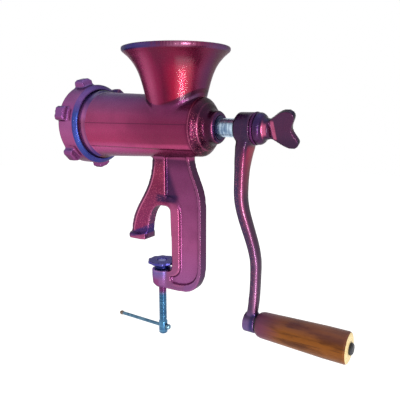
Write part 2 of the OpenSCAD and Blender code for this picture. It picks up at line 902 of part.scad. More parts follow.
wing_half = wing_span / 2;
module wing_outline() {
  root = wing_neck_d * 0.42;
  sweep = wing_len * 0.3;
  lobe = wing_half * 0.42;
  notch_x = wing_tip_x - wing_len * 0.2;
  tip_x = wing_tip_x - wing_len * 0.04;
  lower = concat(
    curve(
      [wing_x - wing_neck_len / 2, -root], [wing_x + sweep / 2, -root],
      [wing_tip_x - lobe - sweep, -wing_half], [wing_tip_x - lobe, -wing_half], 6
    ),
    curve(
      [wing_tip_x - lobe, -wing_half], [tip_x, -wing_half],
      [wing_tip_x, lobe / 2 - wing_half], [tip_x, lobe - wing_half], 5
    ),
    curve(
      [tip_x, lobe - wing_half], [tip_x - lobe / 5, lobe * 1.5 - wing_half],
      [notch_x, -lobe / 2], [notch_x, 0], 4
    )
  );
  count = len(lower);
  polygon(concat(lower, [for (i = [count - 2:-1:0]) [lower[i][0], -lower[i][1]]]));
}

module wing_screw() {
  edge = 1.6;
  cap_x = wing_x + edge;
  flange_r = flange_d / 2;
  neck_r = wing_neck_d / 2;
  color("#74264f")
    difference() {
      union() {
        turned([
          [washer_end_x, 0], [washer_end_x, flange_r], [washer_end_x + flange_len / 2, flange_r],
          [flange_end_x - edge / 2, flange_r - edge], [flange_end_x, flange_r - 2 * edge],
          [flange_end_x + edge, neck_r], [wing_x, neck_r - edge / 2], [cap_x, neck_r - 2 * edge],
          [cap_x, 0]
        ]);
        translate([0, 0, axis_h])
          rotate([wing_turn, 0, 0])
            side_plate(wing_t)
              wing_outline();
      }
      rod(washer_end_x - eps, flange_end_x, stud_d / 2);
    }
}

module wing_stud() {
  color("#c3c9cf")
    rod(hub_end_x - stud_len, flange_end_x, stud_d / 2);
}

// Grip

module along_grip(x) {
  translate([x, 0, grip_z])
    rotate([0, 90, 0])
      children();
}

module handle_spindle() {
  head_x = grip_end_x + face_gap;
  head_r = head_d / 2;
  color("#4d5054")
    along_grip(0)
      rotate_extrude()
        polygon([
          [0, eye_x], [spindle_r, eye_x], [spindle_r, head_x], [head_r, head_x],
          [head_r, head_x + head_t * 0.6], [head_r * 0.75, head_x + head_t], [0, head_x + head_t]
        ]);
}

module grip_washer() {
  color("#c3c9cf")
    along_grip(eye_end_x)
      difference() {
        cylinder(h = grip_washer_t, d = grip_nose_d * 0.94);
        translate([0, 0, -eps])
          cylinder(h = grip_washer_t + 2 * eps, r = spindle_r);
      }
}

module wood_grip() {
  nose_r = grip_nose_d / 2;
  grip_r = grip_d / 2;
  swell = 1.8;
  nose = [
    for (a = [0:15:90])
      [nose_r + (grip_r - swell - nose_r) * sin(a), grip_nose_len * (1 - cos(a))]
  ];
  color("#a8642c")
    along_grip(grip_x)
      rotate_extrude()
        polygon(concat(
          [[grip_bore_r, 0]],
          nose,
          [
            [grip_r, grip_len * 0.75], [grip_r, grip_len - grip_edge],
            [grip_r - grip_edge * 0.3, grip_len - grip_edge * 0.3],
            [grip_r - grip_edge, grip_len], [grip_bore_r, grip_len]
          ]
        ));
}

// Table clamp

module clamp_screw() {
  neck_top = pad_top_z - pad_sink;
  end_top = screw_end_z + screw_end_h;
  end_r = screw_end_r;
  edge = 1;
  color("#8fa6bf")
    difference() {
      translate([screw_x, 0, 0])
        rotate_extrude()
          polygon([
            [0, screw_end_z], [end_r - edge, screw_end_z], [end_r, screw_end_z + edge],
            [end_r, end_top - edge], [screw_r, end_top], [screw_r, pad_base_z - face_gap],
            [pad_neck_r, pad_base_z - face_gap], [pad_neck_r, neck_top + face_gap],
            [pad_head_r, neck_top + face_gap], [pad_head_r, neck_top + pad_head_t / 2],
            [pad_head_r - edge, neck_top + pad_head_t], [0, neck_top + pad_head_t]
          ]);
      translate([screw_x, 0, bar_z])
        rotate([0, 90, 0])
          cylinder(h = 3 * end_r, r = bar_r + run_fit, center = true);
    }
}

module clamp_pad() {
  pad_r = (pad_d - wave_h) / 2;
  steps = pad_waves * 10;
  color("#4b4a8c")
    translate([screw_x, 0, 0])
      difference() {
        union() {
          translate([0, 0, pad_top_z - pad_t])
            linear_extrude(pad_t)
              polygon([
                for (i = [0:steps - 1])
                  let (a = 360 * i / steps, r = pad_r + wave_h / 2 * cos(pad_waves * a + 180))
                    [r * cos(a), r * sin(a)]
              ]);
          translate([0, 0, pad_base_z])
            cylinder(h = pad_h - pad_t / 2, d = pad_hub_d);
        }
        translate([0, 0, pad_base_z - eps])
          cylinder(h = pad_h, r = pad_neck_r + run_fit);
        translate([0, 0, pad_top_z - pad_sink])
          cylinder(h = pad_sink + eps, r = pad_head_r + thread_fit);
      }
}

// The bar rests with its upset head against the screw, and its other end is peened
module tommy_bar() {
  head_x = screw_end_r + bar_stop_gap;
  left_x = head_x - bar_len;
  color("#9db4c8")
    translate([screw_x, 0, bar_z])
      rotate([0, 90, 0])
        rotate_extrude()
          polygon([
            [0, left_x - bar_tip_l], [bar_r * 0.5, left_x - bar_tip_l],
            [bar_r + bar_peen, left_x - bar_tip_l * 0.5], [bar_r + bar_peen, left_x - bar_peen],
            [bar_r, left_x], [bar_r, head_x], [bar_head_r, head_x],
            [bar_head_r, head_x + bar_head_l - bar_edge],
            [bar_head_r - bar_edge, head_x + bar_head_l], [0, head_x + bar_head_l]
          ]);
}

body_casting();
rear_bush();
thrust_washer();
plate_key();
auger_screw();
drive_shaft();
knife_stud();
cutter_knife();
hole_plate();
ring_nut();
crank_arm();
crank_washer();
wing_screw();
wing_stud();
handle_spindle();
grip_washer();
wood_grip();
clamp_screw();
clamp_pad();
tommy_bar();
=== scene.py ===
# %% [markdown]
# # A hand-cranked meat grinder
# The solids come from the CAD model and already stand in their right places. This lesson gives them their
# looks: soft cast edges, glossy textured enamel, turned steel and a varnished wooden grip. Everything is
# in metres, with Z up, X from the ring nut to the crank, and the origin under the table foot.

# %% Load the frame
import math

import bmesh
import bpy
import numpy as np
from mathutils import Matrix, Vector


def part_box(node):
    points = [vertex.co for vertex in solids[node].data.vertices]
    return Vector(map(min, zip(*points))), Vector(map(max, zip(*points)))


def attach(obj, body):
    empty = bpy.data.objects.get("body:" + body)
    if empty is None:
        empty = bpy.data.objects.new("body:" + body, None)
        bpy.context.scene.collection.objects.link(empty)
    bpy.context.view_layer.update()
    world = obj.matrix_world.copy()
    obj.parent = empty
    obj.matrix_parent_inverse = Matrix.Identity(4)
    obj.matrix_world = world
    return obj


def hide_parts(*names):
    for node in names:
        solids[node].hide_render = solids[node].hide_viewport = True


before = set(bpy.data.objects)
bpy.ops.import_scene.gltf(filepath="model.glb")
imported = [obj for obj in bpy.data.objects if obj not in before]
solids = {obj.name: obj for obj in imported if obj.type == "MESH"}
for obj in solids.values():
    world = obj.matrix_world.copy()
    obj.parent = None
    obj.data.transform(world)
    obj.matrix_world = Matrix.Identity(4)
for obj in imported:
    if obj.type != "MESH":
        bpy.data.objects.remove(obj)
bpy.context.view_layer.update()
MM = 0.001

# %% [markdown]
# ## Camera
# The photograph was taken a little above the barrel, from the front and the crank's side, close enough
# for the near grip to look large. A camera with the same place, tilt and lens gives the same
# foreshortening.

# %% Camera
CAMERA_PLACE = Vector((0.32362, -0.38186, 0.13938))
CAMERA_TURN = math.radians(32.96)
CAMERA_TILT = math.radians(90 - 11.27)
CAMERA_LENS = 42.3
SENSOR = 36.0

camera_data = bpy.data.cameras.new("camera")
camera_data.sensor_width = SENSOR
camera_data.lens = CAMERA_LENS
camera_data.clip_start = 0.01
camera = bpy.data.objects.new("camera", camera_data)
camera.location = CAMERA_PLACE
camera.rotation_euler = (CAMERA_TILT, 0.0, CAMERA_TURN)
bpy.context.scene.collection.objects.link(camera)
bpy.context.scene.camera = camera
print("camera", [round(v, 3) for v in camera.location], "lens", CAMERA_LENS)

# %% [markdown]
# ## Small helpers for node trees
# Shaders and Geometry Nodes are both made of nodes and links. Two helpers keep the later cells short: one
# adds a node and fills its inputs with values or with the outputs of other nodes, and one turns a colour
# code into the linear numbers that shaders use.


# %% Node helpers
def add(tree, kind, settings=(), **inputs):
    """A new node; settings are its own properties, and inputs are values or other nodes' outputs."""
    made = tree.nodes.new(kind)
    for key, value in dict(settings).items():
        setattr(made, key, value)
    for key, value in inputs.items():
        fill(tree, made.inputs[key.replace("_", " ")], value)
    return made


def fill(tree, socket, value):
    """Links an output to a socket, or writes a plain value into it."""
    if isinstance(value, bpy.types.NodeSocket):
        tree.links.new(value, socket)
    else:
        socket.default_value = value


def calc(tree, operation, *values):
    """The output of one sum on numbers."""
    made = tree.nodes.new("ShaderNodeMath")
    made.operation = operation
    for socket, value in zip(made.inputs, values):
        fill(tree, socket, value)
    return made.outputs[0]


def ramp(tree, value, low, high, start=0.0, end=1.0):
    """A smooth step from start to end while the value goes from low to high."""
    made = add(tree, "ShaderNodeMapRange", {"interpolation_type": "SMOOTHSTEP"}, Value=value)
    for socket, number in zip(("From Min", "From Max", "To Min", "To Max"), (low, high, start, end)):
        made.inputs[socket].default_value = number
    return made.outputs["Result"]


def mixed(tree, share, first, second):
    """The colour between two colours."""
    made = tree.nodes.new("ShaderNodeMix")
    made.data_type = "RGBA"
    colour_inputs = [s for s in made.inputs if s.type == "RGBA"]
    fill(tree, made.inputs[0], share)
    fill(tree, colour_inputs[0], first)
    fill(tree, colour_inputs[1], second)
    return next(s for s in made.outputs if s.type == "RGBA")


def paint(code):
    """A colour code as linear red, green, blue and alpha."""
    parts = [int(code[i:i + 2], 16) / 255 for i in (1, 3, 5)]
    return [p / 12.92 if p <= 0.04045 else ((p + 0.055) / 1.055) ** 2.4 for p in parts] + [1.0]


def new_finish(name):
    """An empty material with its tree, its shader and its object coordinates."""
    finish = bpy.data.materials.new(name)
    finish.use_nodes = True
    tree = finish.node_tree
    tree.nodes.clear()
    shader = add(tree, "ShaderNodeBsdfPrincipled")
    add(tree, "ShaderNodeOutputMaterial", Surface=shader.outputs[0])
    coords = add(tree, "ShaderNodeTexCoord")
    return finish, tree, shader, coords


print("crimson in linear numbers:", [round(v, 3) for v in paint("#a53c64")])

# %% [markdown]
# ## Studio
# The grinder is photographed on plain white. The floor lies well below it, as a room's floor does under a
# table edge, and the world is white only to the camera and to reflections. One tall strip lamp on the
# crank's side draws the long highlight on the hopper, and two broad lamps fill the rest softly.

# %% World and floor
FLOOR_Z = -0.75
FLOOR_SIZE = 12.0
FLOOR_LIFT = 0.7
ROOM_LIGHT = 0.55


def seen_directly(tree):
    """1 for rays from the camera, a reflection or glass, and 0 for the rays that light a surface."""
    rays = add(tree, "ShaderNodeLightPath").outputs
    seen = calc(tree, "MAXIMUM", rays["Is Camera Ray"], rays["Is Glossy Ray"])
    return calc(tree, "MAXIMUM", seen, rays["Is Transmission Ray"])


world = bpy.data.worlds.new("studio")
world.use_nodes = True
bpy.context.scene.world = world
sky = world.node_tree
sky.nodes.clear()
level = add(sky, "ShaderNodeMapRange", Value=seen_directly(sky))
level.inputs["To Min"].default_value = ROOM_LIGHT
backdrop = add(sky, "ShaderNodeBackground", Color=(1.0, 1.0, 1.0, 1.0), Strength=level.outputs["Result"])
add(sky, "ShaderNodeOutputWorld", Surface=backdrop.outputs[0])

bpy.ops.mesh.primitive_plane_add(size=FLOOR_SIZE, location=(0.0, 0.0, FLOOR_Z))
floor = bpy.context.object
floor.name = "floor"
floor_paper = bpy.data.materials.new("floor_paper")
floor_paper.use_nodes = True
paper = floor_paper.node_tree
paper.nodes.clear()
paper_lift = calc(paper, "MULTIPLY", seen_directly(paper), FLOOR_LIFT)
matt = add(paper, "ShaderNodeBsdfDiffuse", Color=(0.9, 0.9, 0.9, 1.0))
glow = add(paper, "ShaderNodeEmission", Color=(1.0, 1.0, 1.0, 1.0), Strength=paper_lift)
both = paper.nodes.new("ShaderNodeAddShader")
paper.links.new(matt.outputs[0], both.inputs[0])
paper.links.new(glow.outputs[0], both.inputs[1])
add(paper, "ShaderNodeOutputMaterial", Surface=both.outputs[0])
floor.data.materials.append(floor_paper)
bpy.context.scene.view_settings.view_transform = "Standard"
print("floor at", FLOOR_Z, "m")


# %% Lamps
LAMP_AIM = Vector((0.06, 0.0, 0.06))


def soft_lamp(name, heading, height, distance, width, tall, watts):
    """A soft box that looks at the grinder from a heading, in degrees from +X towards +Y."""
    lamp_data = bpy.data.lights.new(name, "AREA")
    lamp_data.shape = "RECTANGLE"
    lamp_data.size = width
    lamp_data.size_y = tall
    lamp_data.energy = watts
    lamp = bpy.data.objects.new(name, lamp_data)
    angle = math.radians(heading)
    lamp.location = LAMP_AIM + Vector((distance * math.cos(angle), distance * math.sin(angle), height))
    lamp.rotation_euler = (LAMP_AIM - lamp.location).to_track_quat("-Z", "Y").to_euler()
    bpy.context.scene.collection.objects.link(lamp)
    return lamp


lamps = [
    soft_lamp("strip", -35, -0.15, 1.20, 0.06, 1.20, 11.0),
    soft_lamp("front", -140, 0.25, 1.30, 1.60, 1.40, 2.0),
    soft_lamp("above", 60, 1.50, 0.50, 1.00, 1.00, 2.0),
]
print("lamps:", [(lamp.name, lamp.data.energy) for lamp in lamps])

# %% [markdown]
# ## Enamel
# The castings are sprayed with a glossy metallic enamel over rough iron. Its colour shifts: crimson on
# the hopper and the barrel's rear, magenta on the barrel's front, violet on the ring and down the leg,
# and navy in shaded nooks. Much of this shift is painted reflection and painted shade, with painted
# highlights among it. Such a slow shift could be painted on an image, but here it follows the place and
# the facing of the surface, so it stays sharp at any distance. Each piece has a small function that
# names its shades, and one shared finish adds what all the enamel has: fine pebbles, pink flecks that
# crowd into painted glints in some places, painted highlights along edges and painted shade in corners.


# %% Helpers for shades
AXIS_Z = 120.0


def shades(tree, value, *stops):
    """A colour that passes through several shades as the value grows; a stop is a value and a code."""
    low, high = stops[0][0], stops[-1][0]
    part = add(tree, "ShaderNodeMapRange", Value=value)
    part.inputs["From Min"].default_value = low
    part.inputs["From Max"].default_value = high
    made = add(tree, "ShaderNodeValToRGB", Fac=part.outputs["Result"])
    points = made.color_ramp.elements
    points[0].color = paint(stops[0][1])
    points[1].color = paint(stops[-1][1])
    for number, code in stops[1:-1]:
        points.new((number - low) / (high - low)).color = paint(code)
    return made.outputs["Color"]


def share_of(tree, *shares):
    """The product of several shares."""
    total = shares[0]
    for share in shares[1:]:
        total = calc(tree, "MULTIPLY", total, share)
    return total


def between(tree, value, low, high, soft):
    """1 while the value lies between two numbers, with soft ends."""
    rising = ramp(tree, value, low - soft, low + soft)
    return share_of(tree, rising, ramp(tree, value, high + soft, high - soft))


class Spot:
    """The place of a point in millimetres, and the direction that its surface faces."""

    def __init__(self, tree, coords):
        place = coords.outputs["Object"]
        scaled = add(tree, "ShaderNodeVectorMath", {"operation": "SCALE"}, Vector=place, Scale=1 / MM)
        place = add(tree, "ShaderNodeSeparateXYZ", Vector=scaled.outputs[0])
        facing = add(tree, "ShaderNodeSeparateXYZ", Vector=coords.outputs["Normal"])
        self.x, self.y, self.z = place.outputs
        self.crankward, self.across, self.up = facing.outputs
        self.off_middle = calc(tree, "ABSOLUTE", self.y)
        over = calc(tree, "SUBTRACT", self.z, AXIS_Z)
        beside = calc(tree, "MULTIPLY", self.y, self.y)
        self.radius = calc(tree, "SQRT", calc(tree, "MULTIPLY_ADD", over, over, beside))
        self.rise = calc(tree, "DIVIDE", over, calc(tree, "MAXIMUM", self.radius, 1.0))
        level = calc(tree, "MULTIPLY_ADD", self.up, calc(tree, "MULTIPLY", self.up, -1.0), 1.0)
        level = calc(tree, "SQRT", calc(tree, "MAXIMUM", level, 0.0025))
        self.heading = calc(tree, "DIVIDE", self.crankward, level)


print("shades follow the place, the facing, and the rise round the barrel's axis at Z", AXIS_Z)

# %% Shades of the hopper
LIP_Z = 191.0


def hopper_shades(tree, spot):
    """Painted reflection by facing: mauve towards the ring, a dark crimson band, red towards the
    crank where the highlight falls, and violet at the far side.
    """
    # Painted reflection: the shades follow the facing, red where the strip's highlight falls.
    colour = shades(
        tree, spot.heading, (-1.0, "#a04064"), (-0.15, "#983c60"), (0.05, "#7a1a40"), (0.25, "#660a2e"),
        (0.55, "#961434"), (0.82, "#961434"), (1.0, "#562648"),
    )
    # Painted shade on the far side, which faces +Y.
    far = share_of(tree, ramp(tree, spot.across, 0.05, 0.6), 0.8)
    colour = mixed(tree, far, colour, paint("#5c3458"))
    # Painted shade near the top, where the flaring wall faces down.
    turned = between(tree, spot.heading, 0.1, 0.97, 0.08)
    high = share_of(tree, ramp(tree, spot.z, 170, 182), turned, 0.75)
    colour = mixed(tree, high, colour, paint("#5a1230"))
    # Painted shade: the dark crimson band reaches down the neck.
    low = share_of(tree, ramp(tree, spot.z, 172, 150), between(tree, spot.heading, 0.2, 0.4, 0.1), 0.5)
    colour = mixed(tree, low, colour, paint("#540c2a"))
    # Painted reflection and highlight on the lip: navy where it faces the ring, light pink at 0.68.
    lip = shades(
        tree, spot.heading, (-0.2, "#202868"), (0.05, "#303068"), (0.4, "#5c2444"), (0.68, "#9a5c7a"),
        (0.86, "#6a2444"), (1.0, "#563a60"),
    )
    return mixed(tree, ramp(tree, spot.z, LIP_Z - 2.2, LIP_Z - 0.6), colour, lip)


print("hopper shades ready")

# %% Shades of the barrel
BARREL_R = 34.3
SHOULDER_X = (77.0, 80.5)
BOSS_END_X = 99.3
COLLAR_X = (-50.5, -42.9)
COLLAR_LINE_X = (-46.5, -44.5)
BEND_X = (80.4, 86.8, 97.8)
LUG_R = (36.6, 37.6)


def shoulder_shades(tree, spot):
    """Dark crimson, painted darker in the hollow, with painted highlight lines where the shoulder bends,
    painted shade on top and underneath, and navy painted shade on the boss's end face.
    """
    colour = shades(
        tree, spot.x, (79, "#581434"), (84, "#420c28"), (95, "#340a24"), (99.3, "#42203e"),
    )
    # Painted highlights: a light line on each bend.
    for bend_x in BEND_X:
        highlight_line = share_of(tree, between(tree, spot.x, bend_x - 0.4, bend_x + 0.4, 0.4), 0.6)
        colour = mixed(tree, highlight_line, colour, paint("#a85074"))
    # Painted shade on the shoulder's top and underside.
    above = share_of(tree, ramp(tree, spot.rise, 0.2, 0.7), ramp(tree, spot.x, 78, 88), 0.85)
    below = share_of(tree, ramp(tree, spot.rise, -0.3, -0.7), 0.35)
    colour = mixed(tree, calc(tree, "MAXIMUM", above, below), colour, paint("#280c26"))
    # Painted shade: navy on the boss's end face, which faces the crank.
    near_end = ramp(tree, spot.x, BOSS_END_X - 2.5, BOSS_END_X - 1)
    end = share_of(tree, near_end, ramp(tree, spot.crankward, 0.5, 0.9))
    return mixed(tree, end, colour, paint("#1c1640"))


def barrel_shades(tree, spot):
    """Grey violet on top and magenta at the front's sides, as painted reflection round the axis,
    and darker and redder towards the crank.
    """
    # Painted reflection and shade: the shades follow the rise round the axis.
    front = shades(
        tree, spot.rise, (-1.0, "#7c4068"), (-0.66, "#b05080"), (-0.45, "#983058"), (0.33, "#8c3860"),
        (0.7, "#784470"), (1.0, "#584a7c"),
    )
    rear = shades(
        tree, spot.rise, (-1.0, "#843860"), (-0.58, "#a43c66"), (-0.5, "#782446"), (0.15, "#6c1e42"),
        (0.7, "#642850"), (1.0, "#583a5c"),
    )
    colour = mixed(tree, ramp(tree, spot.x, -15, 50), front, rear)
    colour = mixed(tree, ramp(tree, spot.x, *SHOULDER_X), colour, shoulder_shades(tree, spot))
    # The collar's shades follow the rise too, as painted reflection and shade.
    collar = shades(
        tree, spot.rise, (-0.8, "#443070"), (-0.5, "#7a3c6c"), (0.1, "#864068"), (0.25, "#9c548c"),
        (0.7, "#44346a"), (1.0, "#2e2c5e"),
    )
    colour = mixed(tree, between(tree, spot.x, COLLAR_X[0] - 4, COLLAR_X[1], 0.4), colour, collar)
    # Painted highlight: a pink line round the collar's side.
    at_side = between(tree, spot.rise, -0.7, 0.45, 0.15)
    highlight_line = share_of(tree, between(tree, spot.x, *COLLAR_LINE_X, 0.6), at_side, 0.12)
    colour = mixed(tree, highlight_line, colour, paint("#d890b4"))
    # Painted shade: navy on the lug at the collar's far top.
    lug = share_of(
        tree, ramp(tree, spot.radius, *LUG_R), ramp(tree, spot.x, -37, -39), ramp(tree, spot.z, 125, 132),
    )
    return mixed(tree, lug, colour, paint("#2c2254"))


print("barrel shades ready")

# %% Shades of the leg
LEG_FACE = 6.0
RECESS_FACE = 2.0
FORK_EDGE_X = 37.0
OUTER_RIM_X = 62.0
JAW_X = 40.0
SCREW_X = 27.8
OVER_ARCH_X = (26.0, 50.0)
OVER_ARCH_Z = (43.0, 50.5)


def fork_shades(tree, spot, rim):
    """The crimson fork, with painted shade on its bevel and a painted highlight on the ridge along its
    outer side.
    """
    fork = shades(
        tree, spot.z, (8, "#7a2452"), (46, "#722448"), (58, "#6e1c3e"), (72, "#7a2444"),
    )
    on_fork = share_of(tree, ramp(tree, spot.x, 46, 38), ramp(tree, spot.z, 4, 9))
    colour = mixed(tree, on_fork, rim, fork)
    # Painted shade on the bevel, which faces towards the ring.
    bevel = share_of(tree, on_fork, ramp(tree, spot.crankward, -0.22, -0.34))
    colour = mixed(tree, bevel, colour, paint("#52204a"))
    # Painted highlight on the ridge along the fork's outer side.
    ridge = share_of(tree, on_fork, between(tree, spot.crankward, -0.24, -0.08, 0.05), 0.8)
    return mixed(tree, ridge, colour, paint("#c46a8e"))


def nook_shades(tree, spot, colour):
    """Shadows in the recess: beside the fork, above the arch and under the barrel."""
    slant = calc(tree, "MULTIPLY_ADD", spot.z, 0.4, spot.x)
    in_recess = ramp(tree, spot.off_middle, LEG_FACE - 0.3, LEG_FACE - 1.5)
    beside = share_of(tree, ramp(tree, slant, 74, 66), ramp(tree, spot.z, 44, 50), in_recess, 0.9)
    colour = mixed(tree, beside, colour, paint("#30143c"))
    at_ledge = between(tree, spot.z, *OVER_ARCH_Z, 1.5)
    over_arch = share_of(tree, at_ledge, between(tree, spot.x, *OVER_ARCH_X, 3.0), 0.85)
    colour = mixed(tree, over_arch, colour, paint("#20163e"))
    under_barrel = share_of(tree, ramp(tree, spot.z, 74, 86), 0.6)
    return mixed(tree, under_barrel, colour, paint("#3c1436"))


def jaw_shades(tree, spot, colour):
    """Blue violet on the clamp's jaw as a painted reflection of the blue pad, painted lighter at its top,
    with a painted magenta reflection round the screw's hole.
    """
    jaw = share_of(tree, between(tree, spot.z, -52, -29, 2), ramp(tree, spot.x, JAW_X, JAW_X - 6), 0.8)
    # Painted reflection of the blue pad, bluest at the jaw's top.
    blue = shades(
        tree, spot.z, (-52, "#804a80"), (-42, "#8e5892"), (-31, "#5660a4"),
    )
    colour = mixed(tree, jaw, colour, blue)
    # Painted light on the jaw's upward faces.
    top = share_of(tree, jaw, ramp(tree, spot.up, 0.4, 0.8))
    colour = mixed(tree, top, colour, paint("#5a68b4"))
    # Painted reflection: magenta on the jaw round the screw's hole.
    by_screw = between(tree, spot.x, SCREW_X - 5, SCREW_X + 2.5, 1.2)
    screw = share_of(tree, by_screw, ramp(tree, spot.z, -38, -42), 0.7)
    return mixed(tree, screw, colour, paint("#86386e"))


def leg_shades(tree, spot):
    """Violet in the recess, pinker on the inner rim, crimson on the fork, with painted shade on faces
    turned to the crank and to the ring, and on the foot's top.
    """
    # Painted shade: the recess grows darker towards the barrel.
    recess = shades(
        tree, spot.z, (-50, "#905086"), (0, "#944878"), (33, "#7e3a66"), (84, "#662a52"),
    )
    inner_rim = shades(
        tree, spot.z, (-50, "#7c4a78"), (-12, "#94486e"), (28, "#9c4670"), (80, "#74345c"),
    )
    outer_rim = shades(tree, spot.z, (-50, "#7e4c80"), (0, "#80486f"), (40, "#783e6a"), (80, "#5e2a50"))
    rim = mixed(tree, ramp(tree, spot.x, OUTER_RIM_X - 4, OUTER_RIM_X), inner_rim, outer_rim)
    rim = fork_shades(tree, spot, rim)
    colour = mixed(tree, ramp(tree, spot.off_middle, RECESS_FACE + 1.5, LEG_FACE - 0.6), recess, rim)
    colour = nook_shades(tree, spot, colour)
    # Painted shade on the faces turned towards +X, in the arch and beyond the outer rim.
    side = shades(
        tree, spot.z, (-50, "#523c5e"), (0, "#583054"), (84, "#3c223c"),
    )
    in_arch = share_of(tree, ramp(tree, spot.x, 42, 38), ramp(tree, spot.z, 43, 40))
    outside = calc(tree, "MAXIMUM", in_arch, ramp(tree, spot.x, OUTER_RIM_X, OUTER_RIM_X + 6))
    by_crank = share_of(tree, ramp(tree, spot.crankward, 0.35, 0.8), outside)
    colour = mixed(tree, by_crank, colour, side)
    # Painted shade on the faces turned towards the ring.
    inner = share_of(tree, ramp(tree, spot.crankward, -0.4, -0.85), 0.85)
    colour = mixed(tree, inner, colour, paint("#4e2048"))
    colour = jaw_shades(tree, spot, colour)
    # Painted shade: navy on the foot's top in front of the fork.
    slope = calc(tree, "MULTIPLY_ADD", spot.x, -0.45, spot.z)
    rim = calc(tree, "MULTIPLY_ADD", spot.x, -0.25, spot.z)
    on_foot = ramp(tree, spot.x, 22, 18)
    toe = share_of(tree, ramp(tree, slope, 11, 8.5), ramp(tree, rim, 2.6, 4.0), on_foot, 0.9)
    return mixed(tree, toe, colour, paint("#221f5c"))


print("leg shades ready")

# %% Shades of the whole body
HOPPER_X = 8.0
SEAM_R = (32.0, 36.0)
GLOSS_HEADING = (0.58, 0.86)
GLOSS_Z = (146.0, 182.0)


def body_shades(tree, spot):
    """The shades of barrel, hopper and leg, each in its own place."""
    colour = barrel_shades(tree, spot)
    above = share_of(
        tree, ramp(tree, spot.radius, BARREL_R + 0.2, BARREL_R + 1.2),
        ramp(tree, spot.z, AXIS_Z, AXIS_Z + 12), ramp(tree, spot.x, HOPPER_X - 6, HOPPER_X),
    )
    colour = mixed(tree, above, colour, hopper_shades(tree, spot))
    # Painted shadow along the seam where the hopper meets the barrel's rear, on the crank's side.
    seam_shadow = share_of(
        tree, between(tree, spot.radius, *SEAM_R, 0.8), ramp(tree, spot.x, 44, 54),
        ramp(tree, spot.z, 137, 144), 0.85,
    )
    colour = mixed(tree, seam_shadow, colour, paint("#3c0a24"))
    below = share_of(tree, ramp(tree, spot.z, 88.5, 86.0), ramp(tree, spot.off_middle, 13.5, 12.0))
    return mixed(tree, below, colour, leg_shades(tree, spot))


def body_painted_glints(tree, spot):
    """Where painted glints crowd the pink flecks: on the fork, the leg's inner rim and the shoulder."""
    fork = share_of(
        tree, ramp(tree, spot.x, FORK_EDGE_X + 4, FORK_EDGE_X - 4),
        ramp(tree, spot.z, 88, 84), ramp(tree, spot.z, 8, 14),
    )
    rim = share_of(
        tree, between(tree, spot.x, 42, 54, 2), ramp(tree, spot.z, 40, 30),
        ramp(tree, spot.off_middle, 4.5, 5.5), 0.5,
    )
    cone = share_of(
        tree, between(tree, spot.x, 80, 90, 1.5), ramp(tree, spot.rise, 0.7, 0.3), ramp(tree, spot.z, 84, 88),
    )
    return calc(tree, "MAXIMUM", calc(tree, "MAXIMUM", fork, rim), cone)


def body_gloss(tree, spot):
    """Where the clear coat is thickest: down the hopper's front."""
    front = between(tree, spot.heading, *GLOSS_HEADING, 0.07)
    return share_of(tree, front, between(tree, spot.z, *GLOSS_Z, 3))


def arm_painted_glints(tree, spot):
    """Painted glints crowd the pink flecks along the arm's side by the barrel."""
    side = between(tree, spot.heading, -0.4, 0.4, 0.15)
    return share_of(tree, side, between(tree, spot.z, -45, 95, 6), 0.7)


def body_edge_highlight(tree, spot):
    """Where the body's edges carry painted highlights: least on the hopper, the shoulder and the leg's
    outer rim.
    """
    height = ramp(tree, spot.z, 165, 150, 0.12, 1.0)
    shoulder = ramp(tree, spot.x, 74, 79, 1.0, 0.3)
    outer = share_of(tree, ramp(tree, spot.z, 90, 85), ramp(tree, spot.x, 56, 62))
    toe = share_of(tree, between(tree, spot.z, 3.5, 13, 1.5), ramp(tree, spot.x, 24, 20))
    dulled = calc(tree, "MAXIMUM", calc(tree, "MULTIPLY", outer, 0.65), calc(tree, "MULTIPLY", toe, 0.85))
    shoulder = calc(tree, "MAXIMUM", shoulder, ramp(tree, spot.z, 88, 84))
    return share_of(tree, height, shoulder, calc(tree, "SUBTRACT", 1.0, dulled))


# The sparkle in this cell is painted glints, and the wear is painted edge highlight.
print("body shades, sparkle and wear ready")

# %% Shades of the ring and the crank
RING_R = 42.5


def ring_shades(tree, spot):
    """Violet on top, magenta at the side, pink low, as painted reflection round the axis, with lugs
    shaded by their facing and a painted blue reflection on the rear slope.
    """
    # Painted reflection: the shades follow the rise round the axis.
    colour = shades(
        tree, spot.rise, (-0.8, "#783668"), (-0.4, "#964878"), (0.1, "#904c80"), (0.4, "#843f78"),
        (0.74, "#865486"), (1.0, "#443e74"),
    )
    # Painted shade: the lugs' shades follow their facing.
    lug = shades(
        tree, spot.up, (-1.0, "#642c5c"), (-0.3, "#7a3c70"), (0.2, "#764480"), (0.6, "#6c4a86"),
        (1.0, "#48407a"),
    )
    on_lug = ramp(tree, spot.radius, RING_R + 0.2, RING_R + 1.2)
    colour = mixed(tree, share_of(tree, on_lug, 0.85), colour, lug)
    # Painted reflection: blue on the rear slope, which faces the crank.
    rear = shades(
        tree, spot.z, (80, "#30357c"), (95, "#2c3c80"), (132, "#2e4084"), (147, "#704c8e"), (158, "#44346e"),
    )
    sloped = share_of(tree, ramp(tree, spot.crankward, 0.2, 0.5), ramp(tree, spot.x, -56, -54.4))
    return mixed(tree, sloped, colour, rear)


EYE_X = (135.0, 139.0)
HIGHLIGHT_HEADING = (0.52, 0.84)


